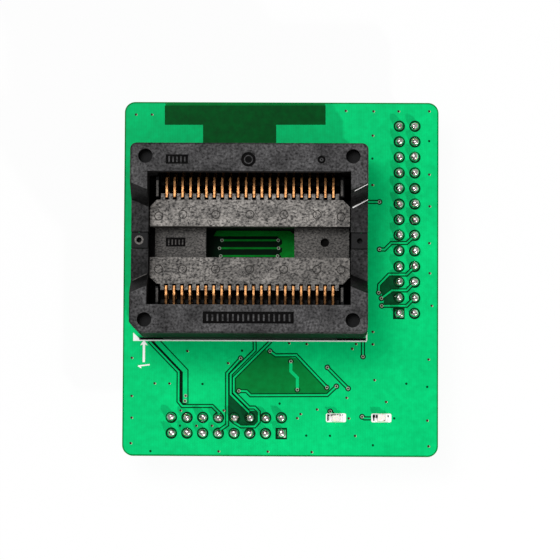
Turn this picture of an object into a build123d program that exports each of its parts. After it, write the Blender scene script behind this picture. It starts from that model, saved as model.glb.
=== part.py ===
from build123d import *
import math
import os

# Programmer adapter: a two-sided circuit board with an open-top zero-insertion-force socket for a
# 44-lead small-outline chip on its upper face, and two pin headers that point down.
# Millimetres. Origin: middle of the board outline, at the tips of the header pins. +Z is up.

# board
BOARD_W = 51.0
BOARD_D = 57.5
BOARD_T = 1.6
BOARD_R = 1.7

# pin headers
PITCH = 2.54
PIN_SQ = 0.64
PIN_DOWN = 6.0            # free length below the insulator
PIN_UP = 1.15             # stands out above the board
PIN_POINT = 0.35          # length of the bevel at the free end
PIN_LEAN = 27.0
BODY_H = 2.54             # insulator height
BODY_NICK = 0.45          # bevel where two cells of the insulator meet
PIN_PLAY = 0.02           # insulator and solder to pin
PIN_HOLE = 0.36           # half width of the bore round a pin
LONG_ROWS = 13
SHORT_ROWS = 8
LONG_EDGE = 5.1           # centre line of the 2 x 13 header, in from the right-hand edge
LONG_REAR = 3.83          # its last row, in from the rear edge
SHORT_EDGE = 4.93         # centre line of the 2 x 8 header, in from the front edge
SHORT_X_RIGHT = 0.2       # its last column
PAD_SOLDER_R = 0.8
PAD_SOLDER_LEAN = 16.0    # degrees that its sides lean in
PAD_SOLDER_H = 0.6

# socket: place and outline
SOCKET_X = -4.88
SOCKET_Y = 5.25
LEADS = 22                # on each side
LEAD_PITCH = 1.27
BASE_D = 28.1
BASE_END = 4.465          # base past the last contact of a row
COVER_OVER_W = 1.075      # cover past each end of the base
COVER_OVER_D = 1.05       # cover past each side of the base
COVER_TOP = 15.5          # above the board
COVER_R = 1.0
COVER_KEY = 1.7           # bevel at the pin 1 corner
COVER_EDGE = 0.25
OPEN_END = 1.65           # opening in from each end of the base
OPEN_SIDE = 3.45          # opening in from each side of the base
COVER_WALL = 0.9
ROOF_T = 1.7
LIP_T = 0.8               # inner lip that hangs over the contacts
LIP_BOTTOM = 13.2

# socket: recesses in the cover's upper face
MARK_DEPTH = 0.35
STRIP_L = 14.4            # long strip at the front
STRIP_W = 1.9
STRIP_IN = 2.45           # its middle, in from the front edge
PATCH_L = 3.55            # short patch at the rear left
PATCH_W = 1.5
PATCH_X = -11.45
GATE_R = 1.2              # gate mark, and a smaller one to its right
GATE_X = -0.13
DIMPLE_R = 0.66
DIMPLE_X = 11.45
REAR_MARK_IN = 2.64       # middles of the rear marks, in from the rear edge

# socket: cover travel
STROKE = 2.0
SWING = 27.0              # degrees that the contact arms open
PRESS_GAP = 0.10          # cam rib above the levers at rest
STOP_GAP = 0.05           # cover foot above its stop, and latch above its ledge
CAM_LEAD = 0.35           # inner face of the cam rib, in from the point of the lever
CAM_T = 0.85

# socket: side notches and latches
NOTCH_FLOOR = 10.5
NOTCH_SHORT = 2.2         # mouth of a notch, short of the end of the side rim
NOTCH_FLARE = 1.15        # wider by this at the outer face than at the opening
NOTCH_DROP = 2.3          # how far each end wall leans in down to the floor
LATCH_W = 2.45
LATCH_PLAY = 0.14
LATCH_STEM_IN = 0.1       # stem face set back from the opening
LATCH_STEM_T = 1.75
LATCH_HOOK_H = 1.5
LATCH_EYE_R = 0.45
LATCH_EYE_DEPTH = 1.2

# socket: base
FLOOR_T = 2.2
FOOT_END = 3.75           # feet, in from each end of the base
FOOT_T = 2.0
RIM_T = 0.55              # rim that stands up inside the cover skirt
RIM_TOP = 5.2
RIM_PLAY = 0.1
RIM_SHORT = 3.05          # ends of the side rims, in from the side of the base
BAR_SKIN = 0.9            # top and outer walls of the cover's hollow side bars
BAR_IN_SKIN = 0.6
GUIDE_IN_X = 1.335        # guide posts, in from the ends of the base
GUIDE_IN_Y = 1.05         # and from its sides
GUIDE_R = 1.1
GUIDE_HOLE_R = 1.15
END_WALL_IN = 3.15        # thin walls at the ends of the contact rows, in from the ends
END_WALL_T = 0.4
END_WALL_TOP = 8.5
FIN_T = 0.6               # fins and comb teeth between contacts
FIN_AFTER = 0.2           # inner end of a fin past the flexing point
FIN_L = 0.6
FIN_TOP = 6.6
WELL_AFTER = 0.55         # open wells past the end walls
WELL_W = 1.4
WELL_L = 2.6

# socket: chip seat
SEAT_END = 1.8            # seat in from each end of the base
SEAT_IN = 2.5
SEAT_PLAY = 0.35          # seat bar to the contact tips
SEAT_TOP = 8.0
SEAT_BAR_H = 4.0
SEAT_KEY = 1.1
LOW_TOP = 5.0
LOW_T = 2.0
LOW_LEFT_IN = 0.7         # low plates, in from the ends of the seat bars
LOW_RIGHT_IN = 0.1
WINDOW_W = 14.2
COMB_L = 1.0
COMB_TOP = SEAT_TOP
COMB_BOTTOM = 5.6
RIB_T = 1.0               # base ribs under the seat bars
CODE_L = 3.2              # recess in the left-hand low plate
CODE_W = 1.5
CODE_X = 12.0
CODE_Y = 0.2
CODE_DEPTH = 0.3
SEAT_EYE_R = 0.72         # blind hole in the right-hand low plate
SEAT_EYE_DEPTH = 1.0

# socket: contacts, as distances along the middle plane's normal and heights above the board
BLADE_T = 0.32
SLOT_PLAY = 0.03
PIVOT_IN = 5.05           # where the arm flexes, in from the side of the base
PIVOT_Z = 3.6
NECK = 0.4
NECK_GAP = 0.04
TIP_REACH = 1.9           # tip, in from the flexing point
NOSE_Z = 8.14
ARM_TOP = 8.6
HEAD_REACH = 1.3          # level top of the arm, out from the flexing point
LEVER_REACH = 3.9         # point of the lever that the cam rib presses, out from there
LEVER_Z = 5.45
LEAD_REST_Z = 8.05        # lower jaw that a chip lead lies on
POST_AFTER = 0.05         # lead post out from the tip
POST_T = 0.55
JAW_T = 0.85
ROOT_REACH = 2.8          # root in the base, out from the flexing point
ROOT_BOTTOM = 0.3
ROOT_TOP = 1.9
TAIL_BEFORE = 0.11        # near tails, in from the flexing point
TAIL_STEP = 2.54          # far tails out from the near ones
TAIL_W = 0.5
TAIL_HOLE_R = 0.42
TAIL_BLOB_R = 0.62
TAIL_BLOB_LEAN = 24.0
TAIL_BLOB_H = 0.8

# cover springs
WIRE = 0.3
SPRING_R_IN = 1.25
SPRING_POCKET_R = 1.65
SPRING_CEILING = 12.0
SPRING_TURNS = 3.75
SPRING_FLAT = 0.5         # turns of flat coil at each end
SPRING_STEPS = 7          # straight steps for each turn

# light-emitting diodes
LED_EDGE = (16.47, 9.15)  # in from the right-hand edge
LED_FRONT = 6.25          # in from the front edge
LED_L = 2.0
LED_W = 1.25
LED_BASE_H = 0.45
LED_LENS_L = 1.3
LED_LENS_H = 0.5
LED_CAP_L = 0.32

# values that follow: board
BOARD_Z0 = PIN_DOWN + BODY_H
BOARD_Z1 = BOARD_Z0 + BOARD_T
LONG_X = BOARD_W / 2 - LONG_EDGE
LONG_Y_REAR = BOARD_D / 2 - LONG_REAR
SHORT_Y = SHORT_EDGE - BOARD_D / 2
LED_Y = LED_FRONT - BOARD_D / 2

# values that follow: socket, along the rows
ROW_HALF = (LEADS - 1) / 2 * LEAD_PITCH
BASE_W = 2 * (ROW_HALF + BASE_END)
COVER_W = BASE_W + 2 * COVER_OVER_W
OPEN_W = BASE_W - 2 * OPEN_END
FOOT_W = BASE_W - 2 * FOOT_END
GUIDE_X = BASE_W - 2 * GUIDE_IN_X
SEAT_W = BASE_W - 2 * SEAT_END
LOW_LEFT = SEAT_W / 2 - LOW_LEFT_IN
LOW_RIGHT = SEAT_W / 2 - LOW_RIGHT_IN
END_WALL_X = BASE_W / 2 - END_WALL_IN
WELL_X0 = END_WALL_X + WELL_AFTER
WELL_X1 = WELL_X0 + WELL_W
CAM_HALF = END_WALL_X + 0.1

# values that follow: socket, across the rows
BASE_SIDE = BASE_D / 2
COVER_D = BASE_D + 2 * COVER_OVER_D
OPEN_D = BASE_D - 2 * OPEN_SIDE
GUIDE_Y = BASE_D - 2 * GUIDE_IN_Y
RIM_SIDE_END = BASE_SIDE - RIM_SHORT
NOTCH_TOP_OUT = RIM_SIDE_END - NOTCH_SHORT
NOTCH_TOP_IN = NOTCH_TOP_OUT - NOTCH_FLARE
PIVOT_S = BASE_SIDE - PIVOT_IN
TIP_S = PIVOT_S - TIP_REACH
LEVER_S = PIVOT_S + LEVER_REACH
CAM_IN = LEVER_S - CAM_LEAD
POST_IN = TIP_S + POST_AFTER
POST_OUT = POST_IN + POST_T
JAW_OUT = POST_IN + JAW_T
ROOT_OUT = PIVOT_S + ROOT_REACH
TAIL_NEAR = PIVOT_S - TAIL_BEFORE
TAIL_FAR = TAIL_NEAR + TAIL_STEP
FIN_IN = PIVOT_S + FIN_AFTER
FIN_OUT = FIN_IN + FIN_L
SEAT_OUT = TIP_S - SEAT_PLAY
COMB_OUT = SEAT_OUT + COMB_L
WELL_Y0 = TIP_S + 0.1
WELL_Y1 = WELL_Y0 + WELL_L

# values that follow: heights and halves
CAM_BOTTOM = LEVER_Z + PRESS_GAP
COVER_BOTTOM = FLOOR_T + STROKE + STOP_GAP
GUIDE_TOP = COVER_TOP - STROKE
HALF_W = COVER_W / 2
HALF_D = COVER_D / 2
HALF_OPEN = OPEN_W / 2
RIM_GAP = LATCH_W / 2 + 0.5
RIM_CEILING = RIM_TOP + STROKE + RIM_PLAY
AT_SOCKET = Pos(SOCKET_X, SOCKET_Y, BOARD_Z1)
ROW_X = [(i - (LEADS - 1) / 2) * LEAD_PITCH for i in range(LEADS)]
GAP_X = [(i - LEADS / 2) * LEAD_PITCH for i in range(LEADS + 1)]
TURN_ROUND = Rot(0, 0, 180)


def block(x0, x1, y0, y1, z0, z1):
    """A box between two corners."""
    size = Box(x1 - x0, y1 - y0, z1 - z0)
    return Pos((x0 + x1) / 2, (y0 + y1) / 2, (z0 + z1) / 2) * size


def rod(x, y, z0, z1, radius):
    """An upright cylinder."""
    return Pos(x, y, (z0 + z1) / 2) * Cylinder(radius, z1 - z0)


def blade(outline, x, thick):
    """A flat profile (distance out, height) on the -Y side, as thick as given along X."""
    points = [(-s, z) for s, z in outline]
    face = make_face(Polyline(*points, close=True))
    return extrude(Plane.YZ.offset(x - thick / 2) * face, amount=thick)


def stump(z, radius, height, lean, sides=6):
    """A low cone with flat sides, as a solder joint; a negative height points it down."""
    cone = extrude(RegularPolygon(radius, sides), amount=abs(height), taper=lean)
    if height < 0:
        cone = Rot(180, 0, 0) * cone
    return Pos(0, 0, z) * cone


def both_rows(shape):
    """The shape and its copy turned half round, for the two sides of the socket."""
    return [shape, TURN_ROUND * shape]


def save(name, solids):
    os.makedirs("parts", exist_ok=True)
    if not isinstance(solids, (list, tuple)):
        solids = [solids]
    single = []
    for shape in solids:
        single.extend(shape.solids())
    shape = Compound(children=single) if len(single) > 1 else single[0]
    export_step(shape, os.path.join("parts", name + ".step"))


# header positions
long_pins = []
for row in range(LONG_ROWS):
    for side in (-0.5, 0.5):
        long_pins.append((LONG_X + side * PITCH, LONG_Y_REAR - row * PITCH))
short_pins = []
for col in range(SHORT_ROWS):
    for side in (-0.5, 0.5):
        short_pins.append((SHORT_X_RIGHT - col * PITCH, SHORT_Y + side * PITCH))

# socket tail positions: near and far rows take turns
tail_spots = []
for i, x in enumerate(ROW_X):
    reach = TAIL_NEAR if i % 2 == 0 else TAIL_FAR
    tail_spots.append((x, -reach))
all_tails = [(SOCKET_X + x, SOCKET_Y + y) for x, y in tail_spots]
all_tails += [(SOCKET_X - x, SOCKET_Y - y) for x, y in tail_spots]

# circuit board
outline = RectangleRounded(BOARD_W, BOARD_D, BOARD_R)
drill = Sketch() + [Pos(x, y) * Rectangle(2 * PIN_HOLE, 2 * PIN_HOLE) for x, y in long_pins + short_pins]
drill += [Pos(x, y) * RegularPolygon(TAIL_HOLE_R, 4, major_radius=False) for x, y in all_tails]
board = extrude(Pos(0, 0, BOARD_Z0) * (outline - drill), amount=BOARD_T)
save("circuit_board", board)


# pin headers
def header_body(cols, rows, centre):
    """The insulator: one cell for each pin, with a bevel where cells meet."""
    half_w = cols * PITCH / 2
    half_d = rows * PITCH / 2
    points = []
    for i in range(cols):
        x = -half_w + i * PITCH
        points += [(x + BODY_NICK, -half_d), (x + PITCH - BODY_NICK, -half_d)]
        if i < cols - 1:
            points.append((x + PITCH, -half_d + BODY_NICK))
    for i in range(rows):
        y = -half_d + i * PITCH
        points += [(half_w, y + BODY_NICK), (half_w, y + PITCH - BODY_NICK)]
        if i < rows - 1:
            points.append((half_w - BODY_NICK, y + PITCH))
    turned = [(-x, -y) for x, y in points]
    face = make_face(Polyline(*(points + turned), close=True))
    hole = Rectangle(PIN_SQ + 2 * PIN_PLAY, PIN_SQ + 2 * PIN_PLAY)
    grid = []
    for i in range(cols):
        for j in range(rows):
            grid.append(Pos((i + 0.5) * PITCH - half_w, (j + 0.5) * PITCH - half_d) * hole)
    body = extrude(face - (Sketch() + grid), amount=BODY_H)
    return Pos(centre[0], centre[1], PIN_DOWN) * body


def header_pin():
    """A square pin, bevelled at its free end."""
    top = BOARD_Z1 + PIN_UP
    shaft = Pos(0, 0, (PIN_POINT + top) / 2) * Box(PIN_SQ, PIN_SQ, top - PIN_POINT)
    point = Rot(180, 0, 0) * extrude(Rectangle(PIN_SQ, PIN_SQ), amount=PIN_POINT, taper=PIN_LEAN)
    return shaft + Pos(0, 0, PIN_POINT) * point


def header_solder(spots):
    """A cone of solder round each pin on the upper face."""
    cone = stump(BOARD_Z1, PAD_SOLDER_R, PAD_SOLDER_H, PAD_SOLDER_LEAN)
    side = PIN_SQ + 2 * PIN_PLAY
    cone -= Pos(0, 0, BOARD_Z1 + PAD_SOLDER_H / 2) * Box(side, side, PAD_SOLDER_H * 3)
    return [Pos(x, y) * cone for x, y in spots]


long_centre = (LONG_X, LONG_Y_REAR - (LONG_ROWS - 1) * PITCH / 2)
short_centre = (SHORT_X_RIGHT - (SHORT_ROWS - 1) * PITCH / 2, SHORT_Y)
pin = header_pin()
save("header_long_body", header_body(2, LONG_ROWS, long_centre))
save("header_long_pins", [Pos(x, y) * pin for x, y in long_pins])
save("header_long_solder", header_solder(long_pins))
save("header_short_body", header_body(SHORT_ROWS, 2, short_centre))
save("header_short_pins", [Pos(x, y) * pin for x, y in short_pins])
save("header_short_solder", header_solder(short_pins))

# socket contacts
arm_outline = [
    (TIP_S + 0.2, NOSE_Z),
    (JAW_OUT + 0.32, NOSE_Z + 0.06),
    (PIVOT_S - NECK / 2, PIVOT_Z),
    (PIVOT_S, PIVOT_Z - NECK / 2),
    (PIVOT_S + NECK / 2, PIVOT_Z),
    (PIVOT_S + 0.5, PIVOT_Z + 0.7),
    (LEVER_S + 0.2, LEVER_Z - 1.1),
    (LEVER_S, LEVER_Z),
    (LEVER_S - 0.8, LEVER_Z - 0.52),
    (PIVOT_S + 1.75, LEVER_Z - 0.3),
    (PIVOT_S + HEAD_REACH, ARM_TOP),
    (TIP_S, ARM_TOP),
]
neck_top = PIVOT_Z - NECK / 2 - NECK_GAP


def root_outline(reach):
    """Lower part of a contact: lead post, root in the base, neck and solder tail."""
    return [
        (POST_IN, LEAD_REST_Z),
        (POST_IN, ROOT_BOTTOM),
        (reach - TAIL_W / 2, ROOT_BOTTOM),
        (reach - TAIL_W / 2, -BOARD_T),
        (reach + TAIL_W / 2, -BOARD_T),
        (reach + TAIL_W / 2, ROOT_BOTTOM),
        (ROOT_OUT, ROOT_BOTTOM),
        (ROOT_OUT, ROOT_TOP),
        (PIVOT_S + NECK / 2, ROOT_TOP),
        (PIVOT_S + NECK / 2, neck_top),
        (PIVOT_S - NECK / 2, neck_top),
        (PIVOT_S - NECK / 2, ROOT_TOP),
        (POST_OUT, ROOT_TOP),
        (JAW_OUT, LEAD_REST_Z),
    ]


arms = [blade(arm_outline, x, BLADE_T) for x in ROW_X]
roots = []
for x, (_, y) in zip(ROW_X, tail_spots):
    roots.append(blade(root_outline(-y), x, BLADE_T))
save("contact_arms_front", [AT_SOCKET * arm for arm in arms])
save("contact_arms_rear", [AT_SOCKET * TURN_ROUND * arm for arm in arms])
save("contact_roots_front", [AT_SOCKET * root for root in roots])
save("contact_roots_rear", [AT_SOCKET * TURN_ROUND * root for root in roots])

# solder under the socket
blob = stump(BOARD_Z0, TAIL_BLOB_R, -TAIL_BLOB_H, TAIL_BLOB_LEAN, sides=4)
save("socket_solder_front", [Pos(x, y) * blob for x, y in all_tails[:LEADS]])
save("socket_solder_rear", [Pos(x, y) * blob for x, y in all_tails[LEADS:]])

# socket base
half_window = WINDOW_W / 2
base = block(-BASE_W / 2, BASE_W / 2, -BASE_D / 2, BASE_D / 2, 0, FLOOR_T)
base += block(-FOOT_W / 2, FOOT_W / 2, -HALF_D, HALF_D, 0, FOOT_T)
base -= block(-half_window, half_window, -SEAT_IN, SEAT_IN, -1, FLOOR_T + 1)
slot_w = BLADE_T + 2 * SLOT_PLAY
slots = []
for x in ROW_X:
    slots.append(block(x - slot_w / 2, x + slot_w / 2, -ROOT_OUT - SLOT_PLAY, -POST_IN + SLOT_PLAY, -1, 3))
base -= slots
base -= [TURN_ROUND * slot for slot in slots]
extras = []
for shape in (
    block(-SEAT_W / 2 + 0.4, SEAT_W / 2 - 0.4, -SEAT_OUT, -SEAT_OUT + RIB_T, FLOOR_T, SEAT_TOP - SEAT_BAR_H),
    block(END_WALL_X, END_WALL_X + END_WALL_T, -WELL_Y1 - 0.6, -WELL_Y0, FLOOR_T, END_WALL_TOP),
    block(-END_WALL_X - END_WALL_T, -END_WALL_X, -WELL_Y1 - 0.6, -WELL_Y0, FLOOR_T, END_WALL_TOP),
):
    extras += both_rows(shape)
extras += both_rows(block(-CAM_HALF + 0.1, CAM_HALF - 0.1, -BASE_D / 2, -BASE_D / 2 + RIM_T, FLOOR_T, RIM_TOP))
for y0, y1 in ((-RIM_SIDE_END, -RIM_GAP), (RIM_GAP, RIM_SIDE_END)):
    extras += both_rows(block(BASE_W / 2 - RIM_T, BASE_W / 2, y0, y1, FLOOR_T, RIM_TOP))
for x in GAP_X:
    extras += both_rows(block(x - FIN_T / 2, x + FIN_T / 2, -FIN_OUT, -FIN_IN, FLOOR_T, FIN_TOP))
for sx in (-1, 1):
    for sy in (-1, 1):
        extras.append(rod(sx * GUIDE_X / 2, sy * GUIDE_Y / 2, FLOOR_T, GUIDE_TOP, GUIDE_R))
base += extras
wells = []
for sx in (-1, 1):
    for sy in (-1, 1):
        x0, x1 = sorted((sx * WELL_X0, sx * WELL_X1))
        y0, y1 = sorted((sy * WELL_Y0, sy * WELL_Y1))
        wells.append(block(x0, x1, y0, y1, -1, FLOOR_T + 1))
base -= wells
# latch towers: a stem and a hook that reaches out over a ledge of the cover
stem_in = HALF_OPEN + LATCH_STEM_IN
stem_out = stem_in + LATCH_STEM_T
latch_top = NOTCH_FLOOR - STOP_GAP
hook_z = latch_top - LATCH_HOOK_H
for side in (0, 180):
    tower = block(stem_in, stem_out, -LATCH_W / 2, LATCH_W / 2, 0, latch_top)
    tower += block(stem_out, HALF_W - 0.02, -LATCH_W / 2, LATCH_W / 2, hook_z, latch_top)
    eye_x = (stem_in + HALF_W) / 2
    tower -= rod(eye_x, 0, latch_top - LATCH_EYE_DEPTH, latch_top + 1, LATCH_EYE_R)
    base += Rot(0, 0, side) * tower
save("socket_base", AT_SOCKET * base)

# chip seat
bar = Rectangle(SEAT_W, SEAT_OUT - SEAT_IN, align=(Align.CENTER, Align.MAX))
bar = Pos(0, -SEAT_IN) * bar
bar = chamfer(bar.vertices().group_by(Axis.Y)[0], length=SEAT_KEY)
bar = extrude(Pos(0, 0, SEAT_TOP - SEAT_BAR_H) * bar, amount=SEAT_BAR_H)
seat = Part() + both_rows(bar)
seat += block(-LOW_LEFT, -half_window, -SEAT_IN, SEAT_IN, LOW_TOP - LOW_T, LOW_TOP)
seat += block(half_window, LOW_RIGHT, -SEAT_IN, SEAT_IN, LOW_TOP - LOW_T, LOW_TOP)
teeth = []
for x in GAP_X:
    teeth += both_rows(block(x - FIN_T / 2, x + FIN_T / 2, -COMB_OUT, -SEAT_OUT, COMB_BOTTOM, COMB_TOP))
seat += teeth
seat -= Pos(-CODE_X, CODE_Y, LOW_TOP) * Box(CODE_L, CODE_W, 2 * CODE_DEPTH)
eye = extrude(RegularPolygon(SEAT_EYE_R, 12), amount=SEAT_EYE_DEPTH + 1)
seat -= Pos(CODE_X, CODE_Y, LOW_TOP - SEAT_EYE_DEPTH) * eye
save("package_seat", AT_SOCKET * seat)

# socket cover
plan = Rectangle(COVER_W, COVER_D)
corners = plan.vertices()
key = corners.sort_by(lambda v: v.X + v.Y)[0]
plan = chamfer(key, length=COVER_KEY)
others = [v for v in plan.vertices() if abs(abs(v.X) - HALF_W) < 1e-6 and abs(abs(v.Y) - HALF_D) < 1e-6]
plan = fillet(others, radius=COVER_R)
cover = extrude(Pos(0, 0, COVER_BOTTOM) * plan, amount=COVER_TOP - COVER_BOTTOM)
cover = chamfer(cover.faces().sort_by(Axis.Z)[-1].outer_wire().edges(), length=COVER_EDGE)
cover -= block(-HALF_OPEN, HALF_OPEN, -OPEN_D / 2, OPEN_D / 2, 0, COVER_TOP + 1)
# cavity over the contact levers: lip at the opening, roof, cam rib, thin skirt
lip_in = OPEN_D / 2
skirt_in = HALF_D - COVER_WALL
cavity = [
    (lip_in - 1, COVER_BOTTOM - 1),
    (skirt_in, COVER_BOTTOM - 1),
    (skirt_in, RIM_CEILING),
    (CAM_IN + CAM_T, RIM_CEILING),
    (CAM_IN + CAM_T, CAM_BOTTOM),
    (CAM_IN, CAM_BOTTOM),
    (CAM_IN, COVER_TOP - ROOF_T),
    (lip_in + LIP_T, COVER_TOP - ROOF_T),
    (lip_in + LIP_T, LIP_BOTTOM),
    (lip_in - 1, LIP_BOTTOM),
]
cover -= both_rows(blade(cavity, 0, 2 * CAM_HALF))
# guide holes and spring pockets
for sx in (-1, 1):
    for sy in (-1, 1):
        x = sx * GUIDE_X / 2
        y = sy * GUIDE_Y / 2
        cover -= rod(x, y, COVER_BOTTOM - 1, COVER_TOP + 1, GUIDE_HOLE_R)
        cover -= rod(x, y, COVER_BOTTOM - 1, SPRING_CEILING, SPRING_POCKET_R)
# side notches: funnels with leaning end walls, and the slot for each latch
lean = NOTCH_DROP / (COVER_TOP - NOTCH_FLOOR)
flare = (NOTCH_TOP_OUT - NOTCH_TOP_IN) / (HALF_W - HALF_OPEN)


def notch_section(z):
    """Plan of the right-hand funnel at one height."""
    x0 = HALF_OPEN - 1
    x1 = HALF_W + 1
    y_in = NOTCH_TOP_IN - lean * (COVER_TOP - z) - flare * 1
    y_out = y_in + flare * (x1 - x0)
    points = [(x0, -y_in), (x1, -y_out), (x1, y_out), (x0, y_in)]
    return Pos(0, 0, z) * make_face(Polyline(*points, close=True))


funnel = loft([notch_section(NOTCH_FLOOR), notch_section(COVER_TOP + 1)], ruled=True)
slot_half = LATCH_W / 2 + LATCH_PLAY
ledge_x = stem_out + 0.1
latch_slot = block(HALF_OPEN - 1, ledge_x, -slot_half, slot_half, COVER_BOTTOM - 1, NOTCH_FLOOR + 1)
latch_slot += block(ledge_x - 0.5, HALF_W + 1, -slot_half, slot_half, hook_z - STOP_GAP, NOTCH_FLOOR + 1)
bar_in = HALF_OPEN + BAR_IN_SKIN
bar_out = HALF_W - BAR_SKIN
bar_end = RIM_SIDE_END + RIM_PLAY
bar_core = block(bar_in, bar_out, -bar_end, bar_end, COVER_BOTTOM - 1, NOTCH_FLOOR - BAR_SKIN)
rear_mark = HALF_D - REAR_MARK_IN
cover -= Pos(0, STRIP_IN - HALF_D, COVER_TOP) * Box(STRIP_L, STRIP_W, 2 * MARK_DEPTH)
cover -= Pos(PATCH_X, rear_mark, COVER_TOP) * Box(PATCH_L, PATCH_W, 2 * MARK_DEPTH)
for x, radius in ((GATE_X, GATE_R), (DIMPLE_X, DIMPLE_R)):
    mark = extrude(RegularPolygon(radius, 12), amount=MARK_DEPTH + 1)
    cover -= Pos(x, rear_mark, COVER_TOP - MARK_DEPTH) * mark
for side in (0, 180):
    cover -= Rot(0, 0, side) * bar_core
    cover -= Rot(0, 0, side) * funnel
    cover -= Rot(0, 0, side) * latch_slot
save("socket_cover", AT_SOCKET * cover)


# cover springs
def spring():
    """A coil with flat ends, from the base floor to the pocket ceiling."""
    run = SPRING_CEILING - FLOOR_T - WIRE
    live = SPRING_TURNS - 2 * SPRING_FLAT
    count = int(round(SPRING_TURNS * SPRING_STEPS))
    rings = []
    for i in range(count + 1):
        turn = i * SPRING_TURNS / count
        climb = min(max((turn - SPRING_FLAT) / live, 0), 1)
        z = FLOOR_T + climb * run
        a = 2 * math.pi * turn
        ring = []
        for r, dz in ((SPRING_R_IN, 0), (SPRING_R_IN + WIRE, 0), (SPRING_R_IN + WIRE, WIRE), (SPRING_R_IN, WIRE)):
            ring.append(Vector(r * math.cos(a), r * math.sin(a), z + dz))
        rings.append(ring)
    faces = [Face(Wire.make_polygon(rings[0])), Face(Wire.make_polygon(rings[-1]))]
    for here, there in zip(rings, rings[1:]):
        for k in range(4):
            p, q = here[k], here[(k + 1) % 4]
            r, s = there[(k + 1) % 4], there[k]
            if k % 2 == 1:
                faces.append(Face(Wire.make_polygon([p, q, r, s])))
            else:
                faces.append(Face(Wire.make_polygon([p, q, r])))
                faces.append(Face(Wire.make_polygon([p, r, s])))
    return Solid(Shell(faces))


coil = spring()
for name, sx, sy in (
    ("front_left", -1, -1),
    ("front_right", 1, -1),
    ("rear_left", -1, 1),
    ("rear_right", 1, 1),
):
    save("cover_spring_" + name, AT_SOCKET * Pos(sx * GUIDE_X / 2, sy * GUIDE_Y / 2) * coil)

# light-emitting diodes
for name, inset in zip(("left", "right"), LED_EDGE):
    at = Pos(BOARD_W / 2 - inset, LED_Y, BOARD_Z1)
    carrier = block(-LED_L / 2 + LED_CAP_L, LED_L / 2 - LED_CAP_L, -LED_W / 2, LED_W / 2, 0, LED_BASE_H)
    lens = Pos(0, 0, LED_BASE_H) * Rectangle(LED_LENS_L, LED_W)
    lens = extrude(lens, amount=LED_LENS_H, taper=8)
    caps = []
    for side in (-1, 1):
        edge = side * LED_L / 2
        x0, x1 = sorted((edge, edge - side * LED_CAP_L))
        caps.append(block(x0, x1, -LED_W / 2, LED_W / 2, 0, LED_BASE_H))
    save("led_" + name + "_carrier", at * carrier)
    save("led_" + name + "_lens", at * lens)
    save("led_" + name + "_terminals", [at * cap for cap in caps])
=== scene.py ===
import math
import random

import bmesh
import bpy
from mathutils import Matrix, Vector


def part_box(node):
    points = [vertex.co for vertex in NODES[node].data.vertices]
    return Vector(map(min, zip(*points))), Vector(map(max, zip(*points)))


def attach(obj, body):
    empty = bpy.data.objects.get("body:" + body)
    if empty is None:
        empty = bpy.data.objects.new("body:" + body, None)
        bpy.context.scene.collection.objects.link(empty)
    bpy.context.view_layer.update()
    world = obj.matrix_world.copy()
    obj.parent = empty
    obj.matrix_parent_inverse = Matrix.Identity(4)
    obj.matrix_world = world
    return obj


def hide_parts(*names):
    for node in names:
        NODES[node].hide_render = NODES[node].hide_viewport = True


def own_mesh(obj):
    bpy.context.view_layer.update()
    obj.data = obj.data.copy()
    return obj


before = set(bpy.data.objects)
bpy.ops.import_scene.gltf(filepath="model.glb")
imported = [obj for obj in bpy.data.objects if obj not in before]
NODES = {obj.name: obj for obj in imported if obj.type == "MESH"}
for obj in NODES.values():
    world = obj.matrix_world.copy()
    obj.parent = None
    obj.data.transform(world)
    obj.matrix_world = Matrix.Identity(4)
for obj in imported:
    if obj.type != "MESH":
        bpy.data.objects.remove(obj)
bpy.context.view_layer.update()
random.seed(7)

MM = 0.001

# Heights and middles, read from the solids.
BOARD_LOW, BOARD_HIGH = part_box("circuit_board")
TOP = BOARD_HIGH.z
COVER_LOW, COVER_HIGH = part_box("socket_cover")
SOCKET_X = (COVER_LOW.x + COVER_HIGH.x) / 2
SOCKET_Y = (COVER_LOW.y + COVER_HIGH.y) / 2
SEAT_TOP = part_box("package_seat")[1].z

# Camera: fitted to the pin rows and the board's edges in the photograph.
PHOTO = 560
FOCAL_PX = 3703.0
DISTANCE = 600 * MM
TILT_X = math.radians(-4.52)
TILT_Y = math.radians(-0.80)
ROLL = math.radians(-0.29)
CENTRE_U = 280.8
CENTRE_V = 278.7
SENSOR = 36.0

turn = (
    Matrix.Rotation(ROLL, 3, "Z")
    @ Matrix.Rotation(TILT_X, 3, "X")
    @ Matrix.Rotation(TILT_Y, 3, "Y")
)
aim = Vector(
    (
        (CENTRE_U - PHOTO / 2) * DISTANCE / FOCAL_PX,
        -(CENTRE_V - PHOTO / 2) * DISTANCE / FOCAL_PX,
        0,
    )
)
eye = turn.transposed() @ (Vector((0, 0, DISTANCE)) - aim) + Vector((0, 0, TOP))
cam_data = bpy.data.cameras.new("camera")
cam_data.sensor_width = SENSOR
cam_data.lens = FOCAL_PX / PHOTO * SENSOR
cam_data.clip_start = 0.01
cam_data.clip_end = 10.0
camera = bpy.data.objects.new("camera", cam_data)
bpy.context.scene.collection.objects.link(camera)
camera.matrix_world = Matrix.Translation(eye) @ turn.transposed().to_4x4()
bpy.context.scene.camera = camera


def at_pixel(u, v, z=TOP):
    """The point at height z that shows at pixel (u, v) of the photograph."""
    ray = turn.transposed() @ Vector(
        ((u - PHOTO / 2) / FOCAL_PX, (PHOTO / 2 - v) / FOCAL_PX, -1)
    )
    return eye + ray * ((z - eye.z) / ray.z)


# Regions of the photograph that points were read in: left and top pixel, and enlargement.
REGIONS = {
    "whole": (100, 90, 4.126),
    "right": (370, 100, 6.817),
    "low_left": (120, 330, 9.8),
    "low_right": (280, 330, 9.22),
    "window": (150, 225, 7.84),
    "pixels": (0, 0, 1),
}


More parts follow.
